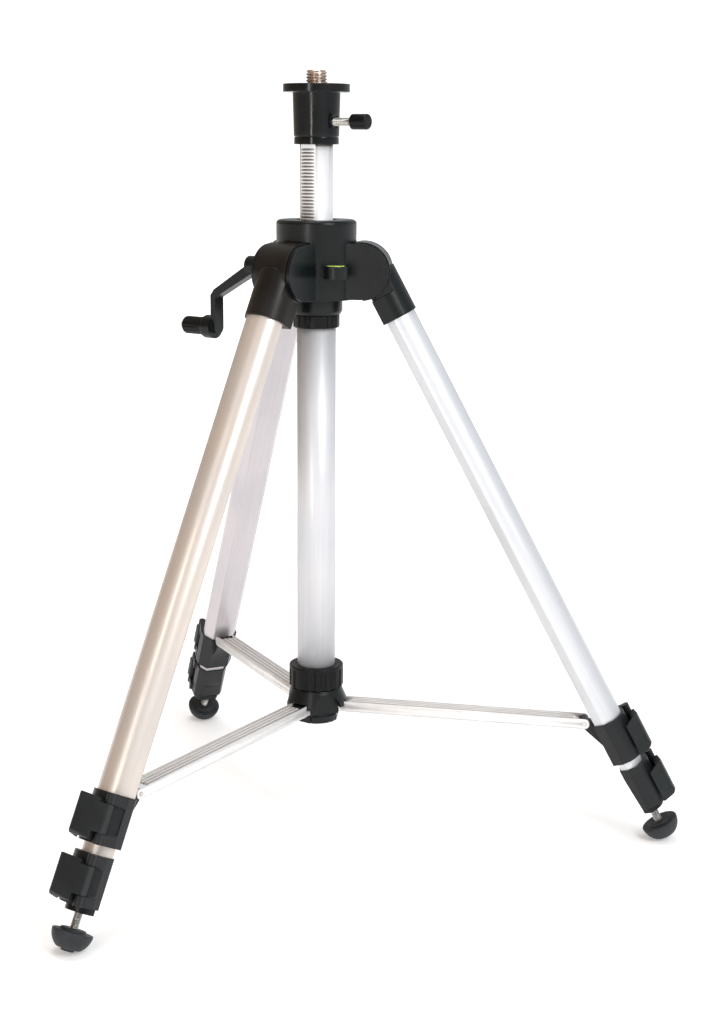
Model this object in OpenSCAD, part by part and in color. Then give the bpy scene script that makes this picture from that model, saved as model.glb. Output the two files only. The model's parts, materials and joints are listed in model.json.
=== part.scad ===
// Crank-up instrument tripod with a 5/8 inch stud, three telescoping legs and a sliding spreader.
// Millimetres. Origin: foot of the stud on the seat of the mount head. +Z points up the column.

/* [Mount head] */
// Diameter of the round seat
seat_d = 50; // [46:1:56]
// Diameter of the instrument stud
stud_d = 15.875; // [15.875:0.001:15.875]
// Height of the stud above the seat
stud_h = 10; // [8:1:16]
// Length of the mount head below the seat
mount_h = 44; // [40:1:48]
// Compass direction of the clamp screw
screw_az = -28; // [-60:1:60]

/* [Column] */
// Outer diameter of the rack column
column_d = 25; // [25:1:25]
// Length of the rack column
column_l = 425; // [380:5:430]
// Outer diameter of the guide tube
guide_d = 30; // [30:1:30]
// Tooth module of the rack and the pinion
tooth_module = 0.8; // [0.8:0.1:0.8]
// Number of pinion teeth
pinion_teeth = 12; // [12:1:12]

/* [Head casting] */
// Diameter of the round cap
cap_d = 61; // [58:1:64]
// Depth of the cap's top face below the seat
cap_drop = 99.5; // [96:0.5:104]
// Distance of each leg hinge from the column axis
hinge_r = 35.6; // [34:0.1:38]
// Depth of the leg hinges below the seat
hinge_drop = 137.5; // [134:0.5:140]
// Radius of the round cheek plates beside each hinge
cheek_r = 21; // [19:0.5:22]

/* [Legs] */
// Compass direction of the right leg
right_az = 0; // [-30:1:30]
// Angle of an open leg from the vertical
splay = 28.06; // [27:0.01:29]
// Width of the leg tube across its round front
leg_w = 30; // [30:1:30]
// Wall thickness of every leg tube
leg_wall = 1.2; // [1:0.1:1.3]
// Distance along the leg from its hinge to the upper clamp
clamp_at = 401; // [396:1:404]
// Length of each clamp along the leg
clamp_h = 36; // [34:1:38]
// Diameter of the rubber foot
foot_d = 29.4; // [28:0.1:32]

/* [Spreader] */
// Depth of the strut pins on the hub below the seat
hub_drop = 484; // [480:1:488]
// Radius of the strut pins on the hub
hub_pin_r = 20; // [20:0.5:21]
// Width of each strut
strut_w = 16; // [16:1:16]

/* [Hidden] */
$fn = 64;

// Leg directions
rear_az = right_az + 120;
front_az = right_az + 240;

// Shank of the stud inside the mount head
shank_r = 6.5;

// Clearances: fit between sliding parts, free play of a pin
fit = 0.08;
pin_play = 0.05;
eps = 0.01;

// Column and rack
column_r = column_d / 2;
column_wall = 3;
guide_r = guide_d / 2;
guide_wall = 1.2;
guide_bore = guide_r - guide_wall;
column_top = -10;
pitch = PI * tooth_module;
pinion_pitch_r = tooth_module * pinion_teeth / 2;
pinion_tip_r = pinion_pitch_r + tooth_module * 0.9;
pinion_root_r = pinion_pitch_r - tooth_module * 1.1;
rack_pitch_x = column_r - tooth_module;
rack_root_x = rack_pitch_x - tooth_module * 1.4;
rack_half_chord = 7.4;
rack_top = -46;
rack_count = 133;
pinion_x = rack_pitch_x + pinion_pitch_r;
pinion_z = -hinge_drop + 2;
pinion_w = 8;
level_at = 37;
level_z = -132.2;
level_r = 9.4;
vial_r = 6.7;
level_h = 9.5;

// Head casting
cap_r = cap_d / 2;
cap_z = -cap_drop;
cap_edge = 3;
hinge_z = -hinge_drop;
casting_bottom = hinge_z - cheek_r - 0.5;
cheek_in = 14.1;
cheek_out = 18;
slot_floor = 26;
bushing_r = 15.5;
bushing_h = 11;
column_clear_r = 13.4;
collar_r = 20;
collar_h = 12;
collar_z = casting_bottom - collar_h;
ring_h = 9.6;
upper_ring_r = 17.8;
neck_r = 16.4;
guide_top = casting_bottom - 3;
guide_bottom = -494;

// Crank, in the frame of the front leg: the shaft runs along -Y at pinion_x
shaft_r = 4;
crank_boss_end = 38;
crank_hub_end = 52;
crank_arm_at = 83.5;
crank_throw = 50;
arm_t = 4.5;
arm_w = 10.5;
grip_l = 21;

// Legs, in leg-local coordinates: x outward, z up the leg, origin on the hinge
leg_x = 6.5;
leg_back = 8;
stem_x = 2;
knuckle_half = 14;
knuckle_r = 22;
hinge_pin_r = 4;
socket_top = -24;
socket_end = -43.5;
socket_wall = 1.6;
tube_top = -25;
clamp_wall = 1.2;
clamp_front_r = leg_w / 2 + 2.2;
clamp_z = -clamp_at;
band = 7;
lower_clamp_z = clamp_z - clamp_h - band;
clamp2_end = lower_clamp_z - clamp_h;
mid_inset = 2.4;
low_inset = 4.8;
mid_top = -50;
low_top = -56;
lever_x = 18.6;
lever_y = 10.9;
lever_barrel_r = 3.2;
lever_pin_r = 1.5;
ear_h = 7.5;
barrel_h = clamp_h - 2 * ear_h - 1;
lug_x = -14.8;
lug_z = -396.5;
lug_half = 6.4;
lug_r = 4;
link_pin_r = 1.5;
foot_z = -498;
foot_r = foot_d / 2;
stem_r = 3.175;

// Spreader
hub_z = -hub_drop;
strut_h = 8;
strut_wall = 1.4;
hub_neck_top = -455;
lower_ring_r = 21.5;
lower_ring_z = -468;
lower_ring_h = 17.5;
hub_top = -469;
hub_bottom = -496;
hub_r = 25;
hub_flat = 16.7;
hub_arch_r = 11.5;
hub_arch_z = 6;
hub_sleeve_r = 17;
roof_z = hub_z + strut_h / 2 + 1.2;
hub_bore = guide_r + fit;

// Position of the strut pin on a leg, as seen from the column
lug_out = hinge_r + (leg_x + lug_x) * cos(splay) - lug_z * sin(splay);
lug_level = hinge_z + (leg_x + lug_x) * sin(splay) + lug_z * cos(splay);
strut_l = norm([lug_out - hub_pin_r, hub_z - lug_level]);
strut_tilt = atan2(hub_z - lug_level, lug_out - hub_pin_r);

// ---------- shared shapes ----------

// Cylinder with its upper edge rounded
module dome_edge(r, h, edge) {
    rotate_extrude() {
        square([r - edge, h]);
        square([r, h - edge]);
        translate([r - edge, h - edge]) intersection() {
            circle(edge);
            square(edge);
        }
    }
}

// Round ring between two radii
module ring(outer, inner, h) {
    difference() {
        cylinder(r = outer, h = h);
        translate([0, 0, -eps]) cylinder(r = inner, h = h + 2 * eps);
    }
}

// Fluted ring nut, with a lip at its top that closes in on the tube
module ring_nut(outer, thread_r, lip_r, h, lip, flutes, flute_r) {
    difference() {
        dome_edge(outer, h, 1);
        translate([0, 0, -eps]) cylinder(r = thread_r, h = h - lip + eps);
        translate([0, 0, -eps]) cylinder(r = lip_r, h = h + 2 * eps);
        for (i = [0 : flutes - 1]) rotate([0, 0, i * 360 / flutes])
            translate([outer + flute_r * 0.55, 0, -eps]) cylinder(r = flute_r, h = h * 0.86, $fn = 24);
    }
}

// Outline of a leg tube, moved inward by inset: flat inside, bevelled corners, round front
module leg_outline(inset) {
    r = leg_w / 2 - inset;
    bevel_start = min(0, 0.346 * inset - 1);
    back = inset - leg_back;
    back_half = 9.5 - 0.486 * inset;
    intersection() {
        circle(r);
        translate([0, -r]) square([r, 2 * r]);
    }
    polygon([[0, r], [bevel_start, r], [back, back_half],
             [back, -back_half], [bevel_start, -r], [0, -r]]);
}

// Stretch of leg tube between two depths
module leg_stretch(inset, top, bottom) {
    translate([leg_x, 0, bottom]) linear_extrude(top - bottom) leg_outline(inset);
}

// Hollow leg tube
module leg_tube(inset, top, bottom) {
    difference() {
        leg_stretch(inset, top, bottom);
        leg_stretch(inset + leg_wall, top + 1, bottom - 1);
    }
}

// Puts leg-local shapes at their place on the open tripod
module on_leg(az) {
    rotate([0, 0, az]) translate([hinge_r, 0, hinge_z]) rotate([0, -splay, 0]) children();
}

// Shape drawn in the upright plane of a leg, given its half thickness
module upright_plate(half) {
    rotate([90, 0, 0]) translate([0, 0, -half]) linear_extrude(2 * half) children();
}

// Pin along the leg's tangent
module cross_pin(r, half) {
    rotate([90, 0, 0]) cylinder(r = r, h = 2 * half, center = true, $fn = 32);
}

// ---------- head casting ----------

module cheek_outline() {
    translate([hinge_r, hinge_z]) circle(cheek_r);
    translate([0, hinge_z - cheek_r]) square([hinge_r, 2 * cheek_r]);
}

module casting_solid() {
    translate([0, 0, casting_bottom]) cylinder(r = cap_r, h = cap_z - casting_bottom - cap_edge);
    translate([0, 0, cap_z - 12]) dome_edge(cap_r, 12, cap_edge);
    for (az = [right_az, rear_az, front_az]) rotate([0, 0, az]) upright_plate(cheek_out) cheek_outline();
    rotate([0, 0, front_az]) translate([pinion_x, 0, pinion_z]) rotate([90, 0, 0])
        cylinder(r = 8, h = crank_boss_end);
}

// Cup of the bubble level, on a bracket between the right and front legs
module level_shelf() {
    level_seat() translate([0, 0, -level_h]) {
        cylinder(r = level_r, h = level_h);
        translate([-12, -level_r + 2, 0]) cube([12, 2 * level_r - 4, level_h]);
    }
}

module level_seat() {
    rotate([0, 0, right_az - 60]) translate([level_at, 0, level_z]) children();
}

module knuckle_slots() {
    for (az = [right_az, rear_az, front_az]) rotate([0, 0, az])
        translate([slot_floor, -cheek_in, casting_bottom - 1])
            cube([hinge_r + cheek_r, 2 * cheek_in, hinge_z + cheek_r + 0.5 - casting_bottom + 1]);
}

module column_bore() {
    translate([0, 0, casting_bottom - 1]) cylinder(r = column_clear_r, h = cap_z - casting_bottom + 2);
    translate([0, 0, cap_z - bushing_h - 1.2]) cylinder(r = bushing_r, h = bushing_h + 1.2);
    translate([0, 0, casting_bottom - 1]) cylinder(r = bushing_r, h = bushing_h + 1);
}

module crank_bores() {
    rotate([0, 0, front_az]) translate([pinion_x, 0, pinion_z]) rotate([90, 0, 0]) {
        translate([0, 0, -pinion_w / 2 - 1]) cylinder(r = pinion_tip_r + 0.8, h = pinion_w + 2);
        translate([0, 0, -cheek_in]) cylinder(r = shaft_r - 1 + pin_play, h = cheek_in);
        cylinder(r = shaft_r + pin_play, h = 60);
    }
}

module head_casting() {
    color([0.13, 0.13, 0.14]) difference() {
        union() {
            casting_solid();
            level_shelf();
        }
        knuckle_slots();
        column_bore();
        crank_bores();
        level_seat() translate([0, 0, -6]) cylinder(r = vial_r + 0.1, h = 7);
    }
}

module column_bushings() {
    color([0.2, 0.2, 0.2]) for (z = [cap_z - 1.2 - bushing_h, casting_bottom])
        translate([0, 0, z]) ring(bushing_r, column_r + fit, bushing_h);
}

// Collar that holds the guide tube under the casting, with a neck for the lock ring
module tube_collar() {
    color([0.14, 0.14, 0.15]) difference() {
        union() {
            translate([0, 0, collar_z]) cylinder(r1 = 18.4, r2 = collar_r, h = 3);
            translate([0, 0, collar_z + 3]) cylinder(r = collar_r, h = collar_h - 3);
            translate([0, 0, collar_z - 8]) cylinder(r = neck_r, h = 9);
        }
        translate([0, 0, collar_z - 9]) cylinder(r = guide_r + 0.02, h = guide_top - collar_z + 9);
        translate([0, 0, guide_top - 1]) cylinder(r = column_clear_r, h = 6);
    }
}

module guide_tube() {
    color([0.86, 0.86, 0.88]) translate([0, 0, guide_bottom])
        ring(guide_r, guide_bore, guide_top - guide_bottom);
}

module tube_plug() {
    color([0.15, 0.15, 0.15]) {
        translate([0, 0, guide_bottom]) cylinder(r = guide_bore - 0.02, h = 10);
        translate([0, 0, guide_bottom - 2]) cylinder(r = guide_r - 0.2, h = 2);
    }
}

module level_vial() {
    color([0.75, 0.9, 0.3, 0.6]) level_seat() translate([0, 0, -5.9]) dome_edge(vial_r, 6.3, 0.5);
}

module upper_lock_ring() {
    color([0.1, 0.1, 0.1]) translate([0, 0, collar_z - 0.4]) mirror([0, 0, 1])
        ring_nut(upper_ring_r, neck_r + 0.1, guide_r + 0.3, ring_h, 1.6, 14, 1.7);
}

// ---------- column ----------

// Comb of tooth spaces, drawn as distance from the axis against height
module rack_comb() {
    space_root = pitch * 0.28;
    space_tip = pitch * 0.86;
    depth = column_r + 0.6 - rack_root_x;
    for (i = [0 : rack_count - 1]) translate([rack_root_x, rack_phase - i * pitch])
        polygon([[0, -space_root / 2], [depth, -space_tip / 2], [depth, space_tip / 2], [0, space_root / 2]]);
}

// A tooth space sits opposite the pinion, so the comb starts a whole number of pitches above it
rack_phase = pinion_z + pitch * floor((rack_top - pinion_z) / pitch);

module rack_column() {
    color([0.85, 0.85, 0.87]) difference() {
        translate([0, 0, column_top - column_l]) ring(column_r, column_r - column_wall, column_l);
        rotate([0, 0, front_az]) upright_plate(rack_half_chord) rack_comb();
    }
}

module column_guide() {
    color([0.15, 0.15, 0.15]) translate([0, 0, column_top - column_l]) {
        translate([0, 0, -3]) cylinder(r = guide_bore - fit, h = 3);
        cylinder(r = column_r - column_wall - 0.02, h = 12);
    }
}

// ---------- mount head ----------

module at_clamp_screw() {
    rotate([0, 0, screw_az]) translate([0, 0, -27.5]) rotate([0, 90, 0]) children();
}

module mount_head() {
    ring_step = 5;
    sleeve_h = mount_h - 5.8 - ring_step;
    color([0.12, 0.12, 0.13]) difference() {
        union() {
            translate([0, 0, -6]) cylinder(r = seat_d / 2, h = 6);
            translate([0, 0, ring_step - mount_h + 0.8]) cylinder(r1 = 17, r2 = 17.9, h = sleeve_h);
            translate([0, 0, -mount_h]) cylinder(r = 16.4, h = ring_step + 2);
            translate([0, 0, -mount_h]) cylinder(r = 16.8, h = ring_step);
        }
        translate([0, 0, -mount_h - 1]) cylinder(r = column_r + pin_play, h = mount_h - 6.5);
        translate([0, 0, -9]) cylinder(r = shank_r + 0.02, h = 10);
        translate([0, 0, -0.5]) cylinder(r = stud_d / 2 + 0.02, h = 2);
        at_clamp_screw() cylinder(r = 3 + pin_play, h = 30);
        at_clamp_screw() translate([0, 0, 16.2]) cylinder(r = 5, h = 5);
    }
}

// Stud: plain, at the thread's outer diameter, on a thinner shank pressed into the head
module mount_stud() {
    chamfer = 1;
    color([0.75, 0.7, 0.6]) {
        translate([0, 0, -7]) cylinder(r = shank_r, h = 8);
        cylinder(r = stud_d / 2, h = stud_h - chamfer);
        translate([0, 0, stud_h - chamfer]) cylinder(r1 = stud_d / 2, r2 = stud_d / 2 - chamfer, h = chamfer);
    }
}

module clamp_screw() {
    color([0.7, 0.7, 0.68]) at_clamp_screw() translate([0, 0, column_r + 0.3]) cylinder(r = 3, h = 29);
}

module clamp_cap() {
    color([0.08, 0.08, 0.08]) at_clamp_screw() translate([0, 0, 33]) difference() {
        dome_edge(5.7, 13.6, 1.6);
        translate([0, 0, -eps]) cylinder(r = 3.02, h = column_r + 29.5 - 33);
    }
}

// ---------- crank ----------

module at_crank() {
    rotate([0, 0, front_az]) translate([pinion_x, 0, pinion_z]) rotate([90, 0, 0]) children();
}

// One tooth of the pinion, pointing along +X
module pinion_tooth() {
    root_half = tooth_module * 0.88;
    tip_half = tooth_module * 0.3;
    polygon([[0, -root_half], [pinion_root_r, -root_half], [pinion_tip_r, -tip_half],
             [pinion_tip_r, tip_half], [pinion_root_r, root_half], [0, root_half]]);
}

module pinion() {
    tooth_turn = 360 / pinion_teeth;
    color([0.6, 0.6, 0.6]) at_crank() translate([0, 0, -pinion_w / 2]) linear_extrude(pinion_w) difference() {
        union() {
            circle(pinion_root_r);
            for (i = [0 : pinion_teeth - 1]) rotate(180 + i * tooth_turn) pinion_tooth();
        }
        circle(2.52);
    }
}

module crank_shaft() {
    color([0.62, 0.62, 0.62]) at_crank() {
        translate([0, 0, -cheek_in + 1.5]) cylinder(r = 2.5, h = cheek_in + 4);
        translate([0, 0, pinion_w / 2 + 0.1]) cylinder(r = shaft_r, h = crank_hub_end - 2.2 - pinion_w / 2);
    }
}

// Crank arm: flat bar out and down from the hub, then straight down to the grip boss
module crank_arm() {
    bar = [[crank_hub_end - 4, 2.5], [crank_arm_at + 1, -20], [crank_arm_at + arm_t, -24.5],
           [crank_arm_at + arm_t, -crank_throw], [crank_arm_at, -crank_throw], [crank_arm_at, -26.5],
           [crank_hub_end - 9, -4], [crank_hub_end - 9, 2.5]];
    hub_l = crank_hub_end - crank_boss_end;
    color([0.1, 0.1, 0.1]) at_crank() difference() {
        union() {
            translate([0, 0, crank_boss_end + 0.6]) cylinder(r = 7.4, h = hub_l - 0.6);
            translate([0, 0, crank_boss_end + 0.6]) cylinder(r = 8.4, h = 3);
            rotate([0, -90, 0]) translate([0, 0, -arm_w / 2]) linear_extrude(arm_w)
                polygon(bar);
            translate([0, -crank_throw, crank_arm_at]) cylinder(r = arm_w / 2, h = arm_t);
            translate([0, -crank_throw, crank_arm_at + arm_t - 0.5]) dome_edge(9.2, 9.5, 1.5);
        }
        translate([0, 0, crank_boss_end - 1]) cylinder(r = shaft_r + 0.02, h = hub_l - 1);
        for (i = [0 : 13]) rotate([0, 0, i * 360 / 14])
            translate([8.8, 0, crank_boss_end]) cylinder(r = 1.1, h = 4, $fn = 16);
        translate([0, -crank_throw, crank_arm_at + 2]) cylinder(r = 2.52, h = 20);
    }
}

module crank_pin() {
    color([0.6, 0.6, 0.6]) at_crank() translate([0, -crank_throw, crank_arm_at + 2]) {
        cylinder(r = 2.5, h = grip_l + arm_t + 8);
        translate([0, 0, grip_l + arm_t + 8]) cylinder(r = 4, h = 1);
    }
}

module crank_grip() {
    color([0.09, 0.09, 0.09]) at_crank()
        translate([0, -crank_throw, crank_arm_at + arm_t + 9.3]) difference() {
            union() {
                dome_edge(7, grip_l, 2.5);
                cylinder(r = 7.6, h = 2);
            }
            translate([0, 0, -1]) cylinder(r = 2.5 + pin_play, h = 40);
            translate([0, 0, grip_l - 1.5]) cylinder(r = 4.4, h = 4);
            for (i = [0 : 11]) rotate([0, 0, i * 30])
                translate([7.6, 0, 3.5]) cylinder(r = 1.1, h = 40, $fn = 16);
        }
}

// ---------- spreader ----------

// Hub shell: three arched flats between three roofs that slope down over the struts
module hub_shell() {
    lip_top = hub_z - 5.2;
    difference() {
        union() {
            translate([0, 0, hub_top]) cylinder(r = 18, h = hub_neck_top - hub_top);
            translate([0, 0, roof_z - 2]) cylinder(r1 = hub_r, r2 = 20, h = hub_top - roof_z + 2);
            translate([0, 0, lip_top]) cylinder(r = hub_r, h = roof_z - 2 - lip_top);
        }
        for (i = [0 : 2]) rotate([0, 0, right_az + 60 + i * 120]) translate([hub_flat, 0, lip_top]) {
            translate([0, 0, hub_arch_z]) rotate([0, 90, 0]) cylinder(r = hub_arch_r, h = 10);
            translate([0, -hub_r, -1]) cube([10, 2 * hub_r, hub_arch_z + 1]);
        }
    }
    translate([0, 0, lip_top - 1]) cylinder(r = 17.4, h = 1.5);
    translate([0, 0, hub_bottom]) cylinder(r1 = 17.8, r2 = 19, h = lip_top - 1 - hub_bottom);
}

// Lugs of the hub, one inside the end of each strut
module hub_lugs() {
    for (az = [right_az, rear_az, front_az]) rotate([0, 0, az]) upright_plate(lug_half) {
        translate([hub_pin_r, hub_z]) circle(lug_r - 0.6);
        translate([hub_sleeve_r - 1, hub_z - 3.4]) square([hub_pin_r - hub_sleeve_r + 1, 6.8]);
    }
}

module spreader_hub() {
    color([0.14, 0.14, 0.15]) difference() {
        union() {
            difference() {
                hub_shell();
                for (az = [right_az, rear_az, front_az]) rotate([0, 0, az])
                    translate([hub_sleeve_r, -strut_w / 2 - 0.3, hub_bottom - 1])
                        cube([hub_r, strut_w + 0.6, roof_z - hub_bottom + 1]);
            }
            hub_lugs();
        }
        for (az = [right_az, rear_az, front_az], side = [-1, 1]) rotate([0, 0, az])
            translate([hub_pin_r - strut_h / 2 - 0.2, side * (strut_w / 2 - 0.65) - 0.95, hub_bottom - 1])
                cube([hub_r, 1.9, roof_z - hub_bottom + 1]);
        translate([0, 0, hub_bottom - 1]) cylinder(r = hub_bore, h = 60);
        for (az = [right_az, rear_az, front_az]) rotate([0, 0, az])
            translate([hub_pin_r, 0, hub_z]) cross_pin(link_pin_r + 0.02, 10);
        for (i = [0 : 2]) rotate([0, 0, right_az + 60 + i * 120])
            translate([10, -0.6, hub_neck_top - 10]) cube([12, 1.2, 11]);
    }
}

module hub_pins() {
    color([0.75, 0.75, 0.75]) for (az = [right_az, rear_az, front_az]) rotate([0, 0, az])
        translate([hub_pin_r, 0, hub_z]) cross_pin(link_pin_r, strut_w / 2 + 0.2);
}

module lower_lock_ring() {
    color([0.1, 0.1, 0.1]) translate([0, 0, lower_ring_z])
        ring_nut(lower_ring_r, 18.1, guide_r + 0.4, lower_ring_h, 3, 16, 3);
}

// Strut: channel with its open side down and rounded ends, cut back over both lugs
module strut(az) {
    half = strut_w / 2;
    inner = half - strut_wall;
    cut = 9;
    color([0.88, 0.88, 0.9]) rotate([0, 0, az]) translate([hub_pin_r, 0, hub_z]) rotate([0, strut_tilt, 0])
        difference() {
            upright_plate(half) {
                circle(strut_h / 2);
                translate([strut_l, 0]) circle(strut_h / 2);
                translate([0, -strut_h / 2]) square([strut_l, strut_h]);
            }
            translate([-20, -inner, -20]) cube([strut_l + 40, 2 * inner, 20 + strut_h / 2 - strut_wall]);
            translate([-20, -inner, -20]) cube([20 + cut, 2 * inner, 40]);
            translate([strut_l - cut, -inner, -20]) cube([20 + cut, 2 * inner, 40]);
            for (x = [0, strut_l]) translate([x, 0, 0]) cross_pin(link_pin_r + pin_play, half + 1);
        }
}

// ---------- legs ----------

// Hinge knuckle and tube socket, square at its inner side. The back of the barrel is cut clear of the
// column at every leg angle.
module knuckle(az) {
    back = 9;
    color([0.13, 0.13, 0.14]) on_leg(az) difference() {
        union() {
            intersection() {
                upright_plate(knuckle_half) circle(knuckle_r);
                translate([-back, -20, -60]) cube([60, 40, 100]);
                rotate([0, splay, 0]) translate([-back, -20, -60]) cube([80, 40, 100]);
            }
            intersection() {
                leg_stretch(-socket_wall, -6, socket_top);
                translate([-back, -knuckle_half, -60]) cube([60, 2 * knuckle_half, 60]);
                rotate([0, splay, 0]) translate([-back, -20, -60]) cube([80, 40, 100]);
            }
            leg_stretch(-socket_wall, socket_top, socket_end);
            translate([leg_x - leg_back - socket_wall, -leg_w / 2 - socket_wall, socket_end])
                cube([leg_back + socket_wall, leg_w + 2 * socket_wall, socket_top - socket_end]);
        }
        leg_stretch(-0.05, tube_top, socket_end - 1);
        cross_pin(hinge_pin_r + 0.02, 30);
    }
}

// Pins of one leg: leg hinge, strut link and upper lever
module leg_pins(az) {
    color([0.75, 0.75, 0.75]) on_leg(az) {
        cross_pin(hinge_pin_r, knuckle_half);
        translate([leg_x + lug_x, 0, lug_z]) cross_pin(link_pin_r, strut_w / 2 + 0.2);
        lever_pin(clamp_z);
    }
}

module lever_pin(top) {
    translate([leg_x + lever_x, lever_y, top - clamp_h + 1.5])
        cylinder(r = lever_pin_r, h = clamp_h - 3, $fn = 32);
}

module upper_tube(az) {
    color([0.86, 0.86, 0.88]) on_leg(az) leg_tube(0, tube_top, clamp_z - clamp_h + 14);
}

module mid_tube(az) {
    color([0.84, 0.84, 0.86]) on_leg(az) leg_tube(mid_inset, mid_top, clamp2_end + 14);
}

module lower_tube(az) {
    color([0.82, 0.82, 0.84]) on_leg(az) leg_tube(low_inset, low_top, clamp2_end);
}

// Outline of a clamp collar around a tube of the given inset, thicker over the round front
module clamp_outline(inset) {
    side = leg_w / 2 - inset + clamp_wall;
    leg_outline(inset - clamp_wall);
    intersection() {
        circle(clamp_front_r);
        translate([0, -side]) square([clamp_front_r, 2 * side]);
    }
}

// Ear that holds one end of the lever pin
module ear_outline() {
    translate([lever_x, lever_y]) circle(lever_barrel_r);
    polygon([[lever_x - 2.2, lever_y + 2.6], [8, 15.8], [6, 11], [lever_x - 2.4, lever_y - 2.4]]);
}

// Clamp collar: grips the outer tube, and its lip runs on the inner tube
module clamp_body(top, outer_inset, inner_inset) {
    grip = 14;
    difference() {
        union() {
            translate([leg_x, 0, top - clamp_h]) linear_extrude(clamp_h) clamp_outline(outer_inset);
            for (z = [top - ear_h, top - clamp_h]) translate([leg_x, 0, z])
                linear_extrude(ear_h) ear_outline();
        }
        leg_stretch(outer_inset - 0.05, top + 1, top - clamp_h + grip);
        leg_stretch(inner_inset - fit, top + 1, top - clamp_h - 1);
        translate([leg_x + lever_x, lever_y, top - clamp_h + 1])
            cylinder(r = lever_pin_r + 0.02, h = clamp_h - 2, $fn = 32);
        translate([leg_x, 0, top - clamp_h + ear_h + 1]) rotate([0, 0, 55])
            translate([clamp_front_r - 2, -4, 0]) cube([6, 8, clamp_h - 2 * ear_h - 2]);
    }
}

module upper_clamp(az) {
    color([0.13, 0.13, 0.14]) on_leg(az) difference() {
        union() {
            clamp_body(clamp_z, 0, mid_inset);
            translate([leg_x, 0, 0]) upright_plate(lug_half) {
                translate([lug_x, lug_z]) circle(lug_r - 0.4);
                polygon([[lug_x - lug_r + 0.4, lug_z], [lug_x, lug_z + lug_r - 0.4],
                         [0.4 - leg_back, clamp_z - 0.4], [0.4 - leg_back, lug_z - 24],
                         [-leg_back - clamp_wall, lug_z - 24]]);
            }
        }
        leg_stretch(-0.05, 0, clamp_z - clamp_h + 14);
        leg_stretch(mid_inset - fit, 0, clamp_z - clamp_h - 1);
        translate([leg_x + lug_x, 0, lug_z]) cross_pin(link_pin_r + 0.02, 10);
    }
}

// The lower clamp tapers at the back, and carries its own lever pin
module lower_clamp(az) {
    back_top = leg_x - leg_back + mid_inset - clamp_wall;
    back_bottom = leg_x - leg_back + low_inset - clamp_wall;
    color([0.13, 0.13, 0.14]) on_leg(az) {
        difference() {
            clamp_body(lower_clamp_z, mid_inset, low_inset);
            upright_plate(40) polygon([[back_top, lower_clamp_z - 8], [back_bottom, clamp2_end - 1],
                                       [-40, clamp2_end - 1], [-40, lower_clamp_z - 8]]);
        }
        lever_pin(lower_clamp_z);
    }
}

// Flip lever: barrel on its pin, a plate across the front of the clamp, and a lip for the finger
module lever(az, top) {
    plate = [[17.2, 14.4], [22, 14.4], [22.8, 13.6], [26.6, -8.5], [25.6, -11.2], [16, -13.4],
             [14.4, -12.8], [14.8, -11.4], [22.4, -9], [19.6, 6], [16.4, 8.8], [16.2, 13.2]];
    side = [[13, -10.5], [22, -5.5], [27, -4], [27, -30.5], [24, -33.5], [13, -36]];
    panel = [[24, -11.1], [17.6, -12.6], [17.6, -14.5], [24.5, -14.5]];
    color([0.1, 0.1, 0.11]) on_leg(az) translate([leg_x, 0, 0]) difference() {
        union() {
            translate([0, 0, top - clamp_h + ear_h + 0.5]) linear_extrude(barrel_h)
                translate([lever_x, lever_y]) circle(lever_barrel_r);
            intersection() {
                translate([0, 0, top - clamp_h]) linear_extrude(clamp_h) polygon(plate);
                translate([0, 0, top]) upright_plate(16) polygon(side);
            }
        }
        for (z = [top - ear_h - 0.5, top - clamp_h - 1])
            translate([10, 6.5, z]) cube([20, 12, ear_h + 1.5]);
        translate([0, 0, top - 28.5]) linear_extrude(17.5) polygon(panel);
        translate([lever_x, lever_y, top - clamp_h])
            cylinder(r = lever_pin_r + pin_play, h = clamp_h, $fn = 32);
    }
}

// Plug pressed into the lowest tube, with a lip under the clamp
module foot_plug(az) {
    color([0.12, 0.12, 0.12]) on_leg(az) translate([leg_x, 0, 0]) difference() {
        union() {
            translate([0, 0, clamp2_end - 1]) linear_extrude(21) leg_outline(low_inset + leg_wall + 0.02);
            translate([0, 0, clamp2_end - 4.5]) linear_extrude(4.2) leg_outline(low_inset - 1.6);
        }
        translate([stem_x, 0, clamp2_end - 6]) cylinder(r = stem_r + 0.02, h = 22);
    }
}

// Threaded stem with its steel point, drawn at the thread's outside diameter
module foot_stem(az) {
    tip = 5;
    color([0.75, 0.75, 0.76]) on_leg(az) translate([leg_x + stem_x, 0, 0]) {
        translate([0, 0, foot_z - 8]) cylinder(r = stem_r, h = clamp2_end + 16 - foot_z + 8);
        translate([0, 0, foot_z - 8 - tip]) cylinder(r1 = 0.8, r2 = stem_r, h = tip);
    }
}

// Rubber foot that screws up the stem: domed, open at the bottom for the steel point
module foot(az) {
    color([0.11, 0.11, 0.11]) on_leg(az) translate([leg_x + stem_x, 0, foot_z]) difference() {
        union() {
            intersection() {
                sphere(foot_r);
                translate([-foot_r, -foot_r, -12]) cube([2 * foot_r, 2 * foot_r, 12]);
            }
            cylinder(r = 9.2, h = 1.8);
            translate([0, 0, -13.8]) cylinder(r = 4.8, h = 4);
        }
        translate([0, 0, -20]) cylinder(r = stem_r + fit, h = 30);
    }
}

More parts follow.
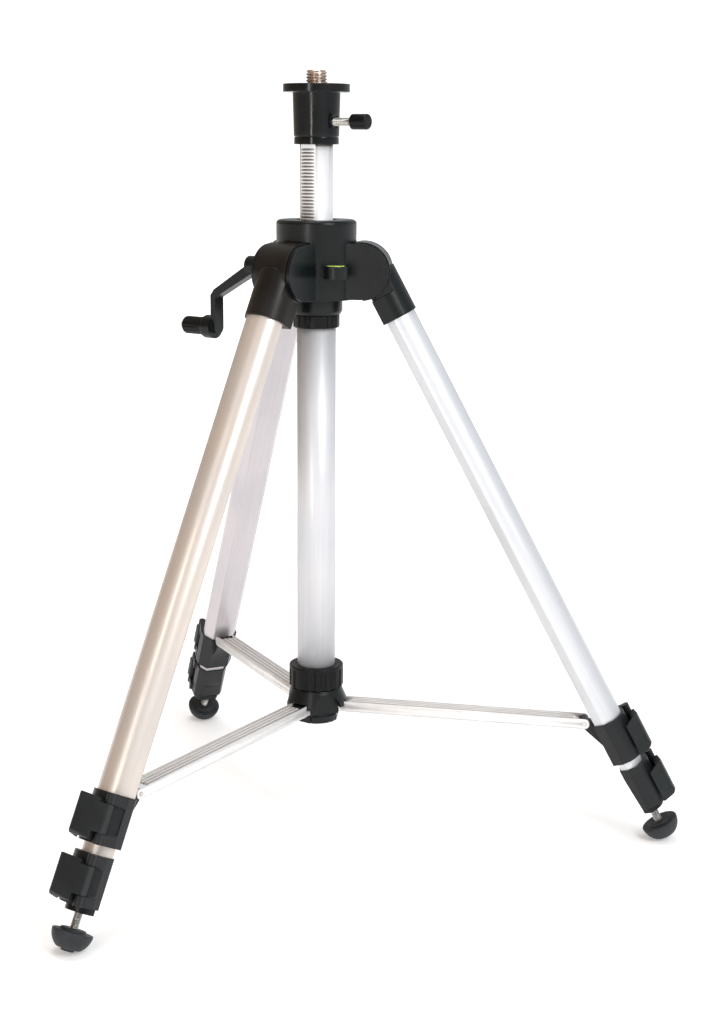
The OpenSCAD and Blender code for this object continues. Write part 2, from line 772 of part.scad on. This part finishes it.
head_casting();
column_bushings();
tube_collar();
guide_tube();
tube_plug();
level_vial();
rack_column();
column_guide();
mount_head();
mount_stud();
clamp_screw();
clamp_cap();
upper_lock_ring();
crank_shaft();
pinion();
crank_arm();
crank_pin();
crank_grip();
spreader_hub();
hub_pins();
lower_lock_ring();
strut(right_az);  // strut_right
strut(rear_az);  // strut_rear
strut(front_az);  // strut_front
knuckle(right_az);  // right_knuckle
leg_pins(right_az);  // right_pins
upper_tube(right_az);  // right_upper_tube
upper_clamp(right_az);  // right_upper_clamp
lever(right_az, clamp_z);  // right_upper_lever
mid_tube(right_az);  // right_mid_tube
lower_clamp(right_az);  // right_lower_clamp
lever(right_az, lower_clamp_z);  // right_lower_lever
lower_tube(right_az);  // right_lower_tube
foot_plug(right_az);  // right_foot_plug
foot_stem(right_az);  // right_foot_stem
foot(right_az);  // right_foot
knuckle(rear_az);  // rear_knuckle
leg_pins(rear_az);  // rear_pins
upper_tube(rear_az);  // rear_upper_tube
upper_clamp(rear_az);  // rear_upper_clamp
lever(rear_az, clamp_z);  // rear_upper_lever
mid_tube(rear_az);  // rear_mid_tube
lower_clamp(rear_az);  // rear_lower_clamp
lever(rear_az, lower_clamp_z);  // rear_lower_lever
lower_tube(rear_az);  // rear_lower_tube
foot_plug(rear_az);  // rear_foot_plug
foot_stem(rear_az);  // rear_foot_stem
foot(rear_az);  // rear_foot
knuckle(front_az);  // front_knuckle
leg_pins(front_az);  // front_pins
upper_tube(front_az);  // front_upper_tube
upper_clamp(front_az);  // front_upper_clamp
lever(front_az, clamp_z);  // front_upper_lever
mid_tube(front_az);  // front_mid_tube
lower_clamp(front_az);  // front_lower_clamp
lever(front_az, lower_clamp_z);  // front_lower_lever
lower_tube(front_az);  // front_lower_tube
foot_plug(front_az);  // front_foot_plug
foot_stem(front_az);  // front_foot_stem
foot(front_az);  // front_foot
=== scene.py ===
import json
import math
import bpy
from mathutils import Matrix, Vector


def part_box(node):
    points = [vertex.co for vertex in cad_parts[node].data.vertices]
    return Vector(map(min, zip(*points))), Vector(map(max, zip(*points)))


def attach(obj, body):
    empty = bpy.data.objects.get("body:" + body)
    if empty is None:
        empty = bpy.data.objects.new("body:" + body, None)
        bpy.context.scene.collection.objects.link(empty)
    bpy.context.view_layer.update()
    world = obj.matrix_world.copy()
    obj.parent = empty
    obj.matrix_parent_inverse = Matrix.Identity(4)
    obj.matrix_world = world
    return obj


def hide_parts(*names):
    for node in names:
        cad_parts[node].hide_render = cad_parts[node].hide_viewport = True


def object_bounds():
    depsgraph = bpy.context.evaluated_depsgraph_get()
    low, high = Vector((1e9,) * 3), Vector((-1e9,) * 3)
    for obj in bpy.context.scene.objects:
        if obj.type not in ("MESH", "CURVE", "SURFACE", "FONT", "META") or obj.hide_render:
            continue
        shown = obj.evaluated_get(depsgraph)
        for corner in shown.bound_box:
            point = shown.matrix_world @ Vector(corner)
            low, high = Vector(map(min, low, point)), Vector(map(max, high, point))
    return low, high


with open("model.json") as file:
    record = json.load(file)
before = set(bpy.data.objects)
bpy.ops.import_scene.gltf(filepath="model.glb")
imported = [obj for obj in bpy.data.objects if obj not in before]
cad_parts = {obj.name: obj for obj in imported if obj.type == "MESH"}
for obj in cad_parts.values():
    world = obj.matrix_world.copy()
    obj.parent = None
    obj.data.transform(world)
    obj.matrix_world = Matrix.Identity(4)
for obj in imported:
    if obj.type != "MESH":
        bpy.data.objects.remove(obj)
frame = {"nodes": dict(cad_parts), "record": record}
cad_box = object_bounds()
nodes = frame["nodes"]
record = frame["record"]
joint = {j["name"]: j for j in record["behaviour"]["joints"]}
LEGS = ("right", "rear", "front")
MM = 0.001


# ---------- shader helpers ----------

class Shader:
    """A material's node tree, with short calls for the nodes this scene uses."""

    def __init__(self, name):
        self.mat = bpy.data.materials.new(name)
        self.mat.use_nodes = True
        self.tree = self.mat.node_tree
        self.out = next(n for n in self.tree.nodes if n.type == "OUTPUT_MATERIAL")
        self.bsdf = next(n for n in self.tree.nodes if n.type == "BSDF_PRINCIPLED")
        self.place = self.node("ShaderNodeTexCoord").outputs["Object"]

    def node(self, kind, **values):
        n = self.tree.nodes.new(kind)
        for key, value in values.items():
            setattr(n, key, value)
        return n

    def put(self, socket, value):
        if isinstance(value, bpy.types.NodeSocket):
            self.tree.links.new(value, socket)
        else:
            socket.default_value = value

    def set(self, **values):
        for key, value in values.items():
            self.put(self.bsdf.inputs[key.replace("_", " ")], value)

    def math(self, op, a, b=0.0, clamp=False):
        n = self.node("ShaderNodeMath", operation=op, use_clamp=clamp)
        self.put(n.inputs[0], a)
        self.put(n.inputs[1], b)
        return n.outputs[0]

    def dot(self, direction, where=None):
        n = self.node("ShaderNodeVectorMath", operation="DOT_PRODUCT")
        self.put(n.inputs[0], where or self.place)
        self.put(n.inputs[1], tuple(direction))
        return n.outputs["Value"]

    def noise(self, scale, detail=3.0, rough=0.5, where=None):
        n = self.node("ShaderNodeTexNoise")
        self.put(n.inputs["Vector"], where or self.place)
        self.put(n.inputs["Scale"], scale)
        self.put(n.inputs["Detail"], detail)
        self.put(n.inputs["Roughness"], rough)
        return n.outputs[0]

    def ramp(self, value, low, high, start=0.0, end=1.0):
        n = self.node("ShaderNodeMapRange", interpolation_type="SMOOTHSTEP")
        for socket, v in zip(n.inputs, (value, low, high, start, end)):
            self.put(socket, v)
        return n.outputs[0]

    def mix(self, factor, a, b):
        n = self.node("ShaderNodeMix", data_type="RGBA")
        self.put(n.inputs[0], factor)
        self.put(n.inputs[6], a if isinstance(a, bpy.types.NodeSocket) else (*a, 1))
        self.put(n.inputs[7], b if isinstance(b, bpy.types.NodeSocket) else (*b, 1))
        return n.outputs[2]

    def bump(self, height, strength, distance, normal=None):
        n = self.node("ShaderNodeBump")
        self.put(n.inputs["Height"], height)
        self.put(n.inputs["Strength"], strength)
        self.put(n.inputs["Distance"], distance)
        if normal is not None:
            self.put(n.inputs["Normal"], normal)
        return n.outputs[0]

    def rounded(self, radius):
        n = self.node("ShaderNodeBevel", samples=4)
        self.put(n.inputs["Radius"], radius)
        return n.outputs[0]

    def edges(self, radius):
        """1 along outside edges, 0 on open faces."""
        true = self.node("ShaderNodeNewGeometry").outputs["Normal"]
        n = self.node("ShaderNodeVectorMath", operation="DOT_PRODUCT")
        self.put(n.inputs[0], self.rounded(radius))
        self.put(n.inputs[1], true)
        return self.ramp(n.outputs["Value"], 0.99, 0.85)

    def stretched(self, along, across, length):
        """Coordinates drawn out along one direction, for extrusion and turning marks."""
        along = Vector(along).normalized()
        side = along.orthogonal().normalized()
        n = self.node("ShaderNodeCombineXYZ")
        self.put(n.inputs[0], self.dot(side * across))
        self.put(n.inputs[1], self.dot(along.cross(side) * across))
        self.put(n.inputs[2], self.dot(along * length))
        return n.outputs[0]


def moulding(name, colour, painted_sheen, rough, grain, edge=0.0006, gloss=0.15):
    """Black moulded plastic: fine spark-eroded grain, a painted sheen on faces seen at a glancing angle, and edges
    painted a little brighter in patches, partly rubbing wear and partly a painted edge highlight.
    """
    s = Shader(name)
    cloud = s.noise(28, 4)
    fine = s.noise(2600, 2, 0.7)
    # Faces seen at a glancing angle are tinted lighter and bluer: a painted sheen.
    facing = s.node("ShaderNodeLayerWeight")
    facing.inputs["Blend"].default_value = 0.35
    body = s.mix(s.ramp(cloud, 0.35, 0.7), colour, tuple(1.5 * c for c in colour))
    body = s.mix(s.math("MULTIPLY", facing.outputs["Facing"], 0.4), body, painted_sheen)
    # Edges are painted lighter in noisy patches: partly rubbing wear, partly a painted edge highlight.
    edge_wear_and_highlight = s.math("MULTIPLY", s.edges(edge), s.ramp(s.noise(160, 3), 0.3, 0.75, 0.25, 0.8))
    body = s.mix(edge_wear_and_highlight, body, tuple(2.2 * c + 0.012 for c in colour))
    shine = s.math("ADD", s.ramp(cloud, 0.3, 0.7, rough - 0.05, rough + 0.07), s.math("MULTIPLY", fine, 0.05))
    s.set(Base_Color=body, Roughness=shine, Specular_IOR_Level=gloss, Coat_Weight=0.05, Coat_Roughness=0.16,
          Normal=s.bump(fine, grain, 0.00012, s.rounded(edge)))
    return s.mat


def anodised(name, along, warm, cool, rough=0.36, marks=900, metal=0.6, painted_hollow_shade=0.0):
    """Satin anodised extrusion: fine lines drawn along the tube, patchy sheen, a few handling marks, and painted shade
    darkening the slots and hollows.
    """
    s = Shader(name)
    lines = s.noise(1, 3, 0.65, s.stretched(along, marks, 9))
    cloud = s.noise(16, 3)
    rubs = s.noise(1, 2, 0.5, s.stretched(along, 260, 40))
    body = s.mix(s.ramp(cloud, 0.3, 0.72), warm, cool)
    body = s.mix(s.ramp(lines, 0.3, 0.7, 0.0, 0.16), body, tuple(0.72 * c for c in cool))
    body = s.mix(s.ramp(rubs, 0.7, 0.82, 0.0, 0.2), body, tuple(0.6 * c for c in warm))
    shine = s.math("ADD", s.ramp(lines, 0.3, 0.7, rough - 0.04, rough + 0.06), s.ramp(cloud, 0.35, 0.7, 0.0, 0.05))
    if painted_hollow_shade:
        # Hollows found by ambient occlusion are painted dark brown: painted shade.
        hollow = s.node("ShaderNodeAmbientOcclusion", samples=6)
        hollow.inputs["Distance"].default_value = 0.0022
        body = s.mix(s.ramp(hollow.outputs["AO"], 0.88, 0.45, 0.0, painted_hollow_shade), body, (0.09, 0.065, 0.05))
    s.set(Base_Color=body, Metallic=metal, Roughness=shine, Normal=s.bump(lines, 0.06, 0.00004, s.rounded(0.0005)))
    return s.mat


def steel(name, colour, along, rough=0.26, tarnish=(0.3, 0.24, 0.16)):
    """Plated steel with turning marks round it, painted darker brown in the hollows."""
    s = Shader(name)
    rings = s.noise(1, 2, 0.5, s.stretched(along, 60, 2600))
    cloud = s.noise(240, 4)
    # Hollows found by ambient occlusion are painted darker brown.
    hollow = s.node("ShaderNodeAmbientOcclusion", samples=4)
    hollow.inputs["Distance"].default_value = 0.001
    body = s.mix(s.ramp(cloud, 0.35, 0.75, 0.0, 0.4), colour, tarnish)
    body = s.mix(s.ramp(hollow.outputs["AO"], 0.35, 0.95), tuple(0.35 * c for c in tarnish), body)
    s.set(Base_Color=body, Metallic=1.0, Roughness=s.ramp(cloud, 0.3, 0.7, rough, rough + 0.14),
          Normal=s.bump(rings, 0.12, 0.00006))
    return s.mat


def strut_metal(name, across, centre, half):
    """Mill-finish channel with drawn ribs along its back: painted brown shade in the grooves between bright crests."""
    s = Shader(name)
    v = s.math("ADD", s.dot(across), -Vector(across).dot(centre))
    wave = s.math("COSINE", s.math("MULTIPLY", v, 2 * math.pi / 0.0036))
    inside = s.ramp(s.math("ABSOLUTE", v), half - 0.0008, half - 0.0017)
    crest = s.math("MULTIPLY", s.ramp(wave, -0.7, 0.3), inside)
    painted_groove_shade = s.math("MULTIPLY", s.math("SUBTRACT", 1.0, s.ramp(wave, -0.8, -0.1)), inside)
    cloud = s.noise(45, 4)
    body = s.mix(s.ramp(cloud, 0.3, 0.7), (0.93, 0.92, 0.91), (0.84, 0.83, 0.825))
    # The grooves between the ribs are painted brown: painted shade.
    body = s.mix(s.math("MULTIPLY", painted_groove_shade, 0.75), body, (0.42, 0.35, 0.3))
    s.set(Base_Color=body, Metallic=0.45, Roughness=s.ramp(cloud, 0.3, 0.7, 0.32, 0.44),
          Normal=s.bump(crest, 0.9, 0.0005, s.rounded(0.0004)))
    return s.mat


def rubber(name, axis):
    """Dull black rubber with a bloom, a painted highlight along its edges, and faint rings from the mould."""
    s = Shader(name)
    cloud = s.noise(90, 5, 0.6)
    rings = s.math("SINE", s.math("MULTIPLY", s.dot(axis), 2 * math.pi / 0.0022))
    fine = s.noise(3200, 2)
    body = s.mix(s.ramp(cloud, 0.35, 0.75), (0.011, 0.013, 0.015), (0.03, 0.033, 0.038))
    # Edges are painted lighter grey: a painted edge highlight.
    body = s.mix(s.math("MULTIPLY", s.edges(0.0006), 0.35), body, (0.11, 0.105, 0.1))
    height = s.math("ADD", s.math("MULTIPLY", rings, 0.35), s.math("MULTIPLY", fine, 0.3))
    s.set(Base_Color=body, Roughness=s.ramp(cloud, 0.3, 0.7, 0.5, 0.68), Specular_IOR_Level=0.4,
          Normal=s.bump(height, 0.35, 0.00018, s.rounded(0.0007)))
    return s.mat


def vial_fluid(name, low, high):
    """Tinted vial seen from above: bubble, its marker circle, a darker rim, and a faint painted glow in the fluid's own
    colour.
    """
    s = Shader(name)
    centre = (low + high) / 2
    flat = s.node("ShaderNodeVectorMath", operation="MULTIPLY")
    shifted = s.node("ShaderNodeVectorMath", operation="SUBTRACT")
    s.put(shifted.inputs[0], s.place)
    s.put(shifted.inputs[1], tuple(centre))
    s.put(flat.inputs[0], shifted.outputs[0])
    s.put(flat.inputs[1], (1, 1, 0))
    away = s.node("ShaderNodeVectorMath", operation="LENGTH")
    s.put(away.inputs[0], flat.outputs[0])
    r = away.outputs["Value"]
    off = s.node("ShaderNodeVectorMath", operation="DISTANCE")
    s.put(off.inputs[0], flat.outputs[0])
    s.put(off.inputs[1], (0.0006, 0.0004, 0))
    bubble = s.ramp(off.outputs["Value"], 0.0023, 0.002)
    circle = s.ramp(s.math("ABSOLUTE", s.math("ADD", r, -0.003)), 0.00028, 0.00018)
    body = s.mix(s.ramp(r, 0.003, 0.0066), (0.62, 0.86, 0.12), (0.42, 0.66, 0.06))
    body = s.mix(s.ramp(s.noise(300, 2), 0.4, 0.8, 0, 0.15), body, (0.8, 0.95, 0.4))
    body = s.mix(bubble, body, (0.93, 0.98, 0.72))
    body = s.mix(circle, body, (0.02, 0.03, 0.01))
    # The fluid is set to glow faintly in its own colour: painted light, no lamp.
    s.set(Base_Color=body, Roughness=s.ramp(s.noise(60, 2), 0.3, 0.7, 0.05, 0.1), Specular_IOR_Level=0.6,
          Emission_Color=body, Emission_Strength=0.25, Coat_Weight=1.0, Coat_Roughness=0.03)
    return s.mat


# ---------- mesh helpers ----------

def spindle(node, axis):
    """Both ends of a round node on its axis, low end first."""
    axis = Vector(axis).normalized()
    points = [v.co for v in nodes[node].data.vertices]
    along = [p.dot(axis) for p in points]
    top = max(along)
    ring = [p for p, t in zip(points, along) if t > top - 0.1 * MM]
    centre = sum(ring, Vector()) / len(ring)
    return centre - axis * (top - min(along)), centre


def thread(name, low, high, crest, root, pitch, chamfer, point=0.0, sides=56):
    """Threaded rod between two points: a helical ridge with flat crests, chamfered ends, and an optional steel point."""
    axis = high - low
    length = axis.length
    rows = math.ceil(length / pitch * 12)
    verts = []
    for k in range(rows + 1):
        z = length * k / rows
        for i in range(sides):
            turn = (z / pitch - i / sides) % 1
            ridge = min(1, max(0, (abs(2 * turn - 1) - 0.16) / 0.66))
            r = crest - (crest - root) * ridge
            r = min(r, crest - chamfer + (length - z))
            if z < point:
                r = min(r, crest * (0.2 + 0.8 * z / point))
            else:
                r = min(r, crest - chamfer + (z - point) + (chamfer if point else 0))
            angle = 2 * math.pi * i / sides
            verts.append((r * math.cos(angle), r * math.sin(angle), z))
    faces = []
    for k in range(rows):
        for i in range(sides):
            j = (i + 1) % sides
            faces.append((k * sides + i, k * sides + j, (k + 1) * sides + j, (k + 1) * sides + i))
    faces.append(tuple(reversed(range(sides))))
    faces.append(tuple(rows * sides + i for i in range(sides)))
    mesh = bpy.data.meshes.new(name)
    mesh.from_pydata(verts, [], faces)
    turn = axis.to_track_quat("Z", "Y").to_matrix().to_4x4()
    mesh.transform(Matrix.Translation(low) @ turn)
    mesh.polygons.foreach_set("use_smooth", [True] * (len(faces) - 2) + [False, False])
    piece = bpy.data.objects.new(name, mesh)
    bpy.context.scene.collection.objects.link(piece)
    return piece


def drawn_ribs(name, low, high, across, up, spots):
    """Low ridges with sloping flanks, drawn side by side along a bar between two points."""
    base, crest, height, sunk = 1.1 * MM, 0.75 * MM, 0.35 * MM, 0.1 * MM
    outline = ((-base, -sunk), (base, -sunk), (base, 0), (crest, height), (-crest, height), (-base, 0))
    count = len(outline)
    verts, faces = [], []
    for spot in spots:
        first = len(verts)
        for end in (low, high):
            verts += [end + across * (spot + v) + up * w for v, w in outline]
        faces += [tuple(first + i for i in reversed(range(count))), tuple(first + count + i for i in range(count))]
        for i in range(count):
            j = (i + 1) % count
            faces.append((first + i, first + j, first + count + j, first + count + i))
    mesh = bpy.data.meshes.new(name)
    mesh.from_pydata(verts, [], faces)
    piece = bpy.data.objects.new(name, mesh)
    bpy.context.scene.collection.objects.link(piece)
    return piece


def finish_piece(piece, material, body, node=None):
    piece.data.materials.clear()
    piece.data.materials.append(material)
    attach(piece, body)
    if node:
        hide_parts(node)


def dress(node, material, radius=0.0, segments=2):
    """Gives a CAD node its material, smooth shading and softened edges."""
    o = nodes[node]
    o.data.materials.clear()
    o.data.materials.append(material)
    for s in o.material_slots:
        s.material = material
    weld = o.modifiers.new("weld", "WELD")
    weld.merge_threshold = 0.00001
    if radius:
        soft = o.modifiers.new("soft edges", "BEVEL")
        soft.limit_method = "ANGLE"
        soft.angle_limit = math.radians(32)
        soft.width = radius
        soft.segments = segments
        soft.use_clamp_overlap = True
        soft.harden_normals = False
    o.data.polygons.foreach_set("use_smooth", [True] * len(o.data.polygons))
    if radius:
        o.modifiers.new("weighted normals", "WEIGHTED_NORMAL").keep_sharp = True


# ---------- materials ----------

UP = Vector((0, 0, 1))
down_leg = {leg: Vector(joint[f"{leg}_mid_extend"]["axis"]) for leg in LEGS}
across_leg = {leg: Vector(joint[f"{leg}_leg_fold"]["axis"]) for leg in LEGS}
screw_axis = Vector(joint["clamp_knob_turn"]["axis"])
crank_axis = Vector(joint["crank_turn"]["axis"])

black = moulding("moulded_black", (0.0022, 0.0034, 0.0036), (0.014, 0.022, 0.026), 0.3, 0.22, 0.001, 0.24)
sleeve = moulding("moulded_black_gloss", (0.0012, 0.0018, 0.002), (0.01, 0.016, 0.021), 0.15, 0.06, 0.0006, 0.3)
# Warm-lit copy of the black moulding, for the front knuckle: painted warm light.
black_painted_warm_light = moulding("moulded_black_painted_warm_light", (0.0055, 0.0045, 0.0036), (0.03, 0.026, 0.021), 0.34, 0.26, 0.001, 0.22)
lever_black = moulding("lever_black", (0.0125, 0.0152, 0.0155), (0.034, 0.042, 0.048), 0.4, 0.5, 0.0008, 0.2)
clamp_black = moulding("clamp_black", (0.0085, 0.0095, 0.0108), (0.032, 0.035, 0.04), 0.34, 0.3, 0.0008, 0.26)
grip_black = moulding("grip_black", (0.0025, 0.0028, 0.0028), (0.013, 0.014, 0.015), 0.34, 0.35, 0.0006)
bearing = moulding("bearing_black", (0.012, 0.012, 0.013), (0.03, 0.03, 0.03), 0.5, 0.2, 0.0004)
# One anodised finish for all three legs, tinted per leg for the light that falls on each: painted light, right cooler
# and brighter, front warm tan, rear pinkish grey.
tube_painted_light_of = {
    "right": anodised("anodised_right_painted_light", down_leg["right"], (0.73, 0.74, 0.76), (0.66, 0.68, 0.71)),
    "rear": anodised("anodised_rear_painted_light", down_leg["rear"], (0.66, 0.62, 0.64), (0.59, 0.57, 0.6)),
    "front": anodised("anodised_front_painted_light", down_leg["front"], (0.68, 0.61, 0.55), (0.63, 0.58, 0.545)),
}
guide_metal = anodised("anodised_guide", UP, (0.67, 0.67, 0.69), (0.61, 0.62, 0.65), 0.42, 900, 0.35)
# The column's rack slots and hollows get painted shade.
column_metal = anodised("column_satin", UP, (0.8, 0.8, 0.81), (0.74, 0.75, 0.76), 0.42, 700, 0.35, 1.0)
zinc = steel("yellow_zinc", (0.74, 0.64, 0.56), UP, 0.24, (0.3, 0.2, 0.15))
screw_steel = steel("clamp_screw_steel", (0.74, 0.73, 0.7), screw_axis)
shaft_steel = steel("crank_steel", (0.6, 0.6, 0.6), crank_axis)
pin_steel = steel("pin_steel", (0.7, 0.7, 0.69), UP, 0.3)

# ---------- CAD nodes ----------

dress("head_casting", black, 0.0011, 3)
dress("tube_collar", black, 0.0006)
dress("mount_head", sleeve, 0.0006, 3)
dress("spreader_hub", black, 0.0008)
dress("crank_arm", black, 0.0007)
dress("upper_lock_ring", grip_black, 0.0005)
dress("lower_lock_ring", grip_black, 0.0005)
dress("clamp_cap", grip_black, 0.0003)
dress("crank_grip", grip_black, 0.0004)
for part in ("column_bushings", "tube_plug", "column_guide"):
    dress(part, bearing, 0.0003)
dress("guide_tube", guide_metal)
dress("rack_column", column_metal)
for part in ("crank_shaft", "crank_pin", "pinion"):
    dress(part, shaft_steel)
dress("hub_pins", pin_steel, 0.0003)
vial_low, vial_high = (Vector(p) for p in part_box("level_vial"))
dress("level_vial", vial_fluid("vial_fluid", vial_low, vial_high))

for leg in LEGS:
    side = across_leg[leg]
    points = [v.co.dot(side) for v in nodes[f"strut_{leg}"].data.vertices]
    channel = strut_metal(f"strut_metal_{leg}", side, side * 0, (max(points) - min(points)) / 2)
    dress(f"strut_{leg}", channel)
    inner, outer = (Vector(joint[f"{leg}_{name}_fold"]["pos_m"]) for name in ("strut", "leg"))
    along = (outer - inner).normalized()
    rise = along.cross(side)
    top = max(v.co.dot(rise) for v in nodes[f"strut_{leg}"].data.vertices)
    lift = rise * (top - inner.dot(rise))
    trim = along * 9.5 * MM
    ribs = drawn_ribs(f"strut_{leg}_ribs", inner + lift + trim, outer + lift - trim, side, rise,
                      (-3.6 * MM, 0, 3.6 * MM))
    finish_piece(ribs, channel, f"{leg}_strut")
    # The front knuckle takes the warm-lit copy of the black moulding: painted warm light.
    knuckle = black_painted_warm_light if leg == "front" else black
    dress(f"{leg}_knuckle", knuckle, 0.001, 3)
    dress(f"{leg}_pins", pin_steel, 0.0003)
    for part in ("upper_tube", "mid_tube", "lower_tube"):
        dress(f"{leg}_{part}", tube_painted_light_of[leg], 0.0005)
    for part in ("upper_clamp", "lower_clamp"):
        dress(f"{leg}_{part}", clamp_black, 0.0006)
    for part in ("upper_lever", "lower_lever"):
        dress(f"{leg}_{part}", lever_black, 0.0011, 3)
    dress(f"{leg}_foot_plug", black, 0.0005)
    dress(f"{leg}_foot", rubber(f"foot_rubber_{leg}", down_leg[leg]), 0.0008, 3)

# ---------- threaded pieces ----------

stud_high = spindle("mount_stud", UP)[1]
stud = thread("stud_thread", stud_high - UP * 11.2 * MM, stud_high, 7.9375 * MM, 6.75 * MM, 25.4 / 11 * MM, 1.2 * MM, sides=80)
finish_piece(stud, zinc, "mount", "mount_stud")

screw_low, screw_high = spindle("clamp_screw", screw_axis)
screw = thread("clamp_screw_thread", screw_low, screw_high, 3 * MM, 2.5 * MM, 1 * MM, 0.5 * MM)
finish_piece(screw, screw_steel, "clamp_knob", "clamp_screw")

for leg in LEGS:
    top, point = spindle(f"{leg}_foot_stem", -down_leg[leg])[1], spindle(f"{leg}_foot_stem", -down_leg[leg])[0]
    stem = thread(f"{leg}_stem_thread", point, top, 3.175 * MM, 2.55 * MM, 1.27 * MM, 0.5 * MM, point=5 * MM)
    finish_piece(stem, steel(f"stem_steel_{leg}", (0.72, 0.74, 0.75), down_leg[leg]), f"{leg}_low", f"{leg}_foot_stem")

# ---------- floor, light and camera ----------

floor_mesh = bpy.data.meshes.new("floor")
floor_z = cad_box[0][2] - 0.2 * MM
floor_mesh.from_pydata([(x, y, floor_z) for x, y in ((-9, -9), (9, -9), (9, 9), (-9, 9))], [], [(0, 1, 2, 3)])
floor = bpy.data.objects.new("floor", floor_mesh)
bpy.context.scene.collection.objects.link(floor)
s = Shader("pale_floor")
speckle = s.noise(3, 4)
reach = s.node("ShaderNodeVectorMath", operation="LENGTH")
s.put(reach.inputs[0], s.place)
s.set(Base_Color=s.mix(s.ramp(speckle, 0.3, 0.7), (0.93, 0.93, 0.93), (0.95, 0.95, 0.945)),
      Roughness=0.9, Specular_IOR_Level=0.1, Emission_Color=(1, 1, 1, 1),
      Emission_Strength=s.ramp(reach.outputs["Value"], 0.75, 1.9, 0.26, 1.0))
floor_mesh.materials.append(s.mat)

world = bpy.data.worlds.new("studio")
world.use_nodes = True
bpy.context.scene.world = world
tree = world.node_tree
back = next(n for n in tree.nodes if n.type == "BACKGROUND")
coords = tree.nodes.new("ShaderNodeTexCoord")
lean = tree.nodes.new("ShaderNodeVectorMath")
lean.operation = "DOT_PRODUCT"
lean.inputs[1].default_value = (-0.93, -0.25, 0.05)
fade = tree.nodes.new("ShaderNodeMapRange")
fade.interpolation_type = "SMOOTHSTEP"
fade.inputs[1].default_value = -0.35
fade.inputs[2].default_value = 0.75
tone = tree.nodes.new("ShaderNodeMix")
tone.data_type = "RGBA"
tone.inputs[6].default_value = (0.93, 0.96, 1.0, 1)
tone.inputs[7].default_value = (0.58, 0.43, 0.31, 1)
path = tree.nodes.new("ShaderNodeLightPath")
shown = tree.nodes.new("ShaderNodeMix")
shown.data_type = "RGBA"
shown.inputs[7].default_value = (1.8, 1.8, 1.8, 1)
tree.links.new(coords.outputs["Generated"], lean.inputs[0])
tree.links.new(lean.outputs["Value"], fade.inputs[0])
tree.links.new(fade.outputs[0], tone.inputs[0])
tree.links.new(path.outputs["Is Camera Ray"], shown.inputs[0])
tree.links.new(tone.outputs[2], shown.inputs[6])
tree.links.new(shown.outputs[2], back.inputs["Color"])
back.inputs["Strength"].default_value = 0.64


def softbox(name, spot, target, width, height, power, colour):
    data = bpy.data.lights.new(name, "AREA")
    data.shape = "RECTANGLE"
    data.size = width
    data.size_y = height
    data.energy = power
    data.color = colour
    lamp = bpy.data.objects.new(name, data)
    spot = Vector(spot)
    lamp.location = spot
    lamp.rotation_euler = (Vector(target) - spot).to_track_quat("-Z", "Y").to_euler()
    bpy.context.scene.collection.objects.link(lamp)


middle = (Vector(cad_box[0]) + Vector(cad_box[1])) / 2
softbox("key", (1.35, -1.35, 1.1), middle, 0.7, 1.4, 27, (0.98, 0.99, 1))
softbox("strip", (-0.6, -1.8, 0.15), middle, 0.14, 1.5, 9, (1, 0.99, 0.97))
softbox("top", (-0.1, 0.1, 1.8), middle, 1.2, 0.7, 18, (1, 1, 1))

turn = math.radians(95.47)
dip = math.radians(12.4)
roll = math.radians(0.36)
ahead = Vector((math.cos(dip) * math.cos(turn), math.cos(dip) * math.sin(turn), -math.sin(dip)))
level_right = ahead.cross(UP).normalized()
level_up = level_right.cross(ahead)
right = math.cos(roll) * level_right + math.sin(roll) * level_up
above = math.cos(roll) * level_up - math.sin(roll) * level_right
lens = bpy.data.cameras.new("camera")
lens.lens = 59.0625
lens.sensor_width = 36
lens.clip_start = 0.01
lens.clip_end = 50
camera = bpy.data.objects.new("camera", lens)
camera.matrix_world = Matrix((
    (right.x, above.x, -ahead.x, 0.1581),
    (right.y, above.y, -ahead.y, -1.2823),
    (right.z, above.z, -ahead.z, -0.0425),
    (0, 0, 0, 1),
))
bpy.context.scene.collection.objects.link(camera)
bpy.context.scene.camera = camera
bpy.context.scene.view_settings.view_transform = "Standard"
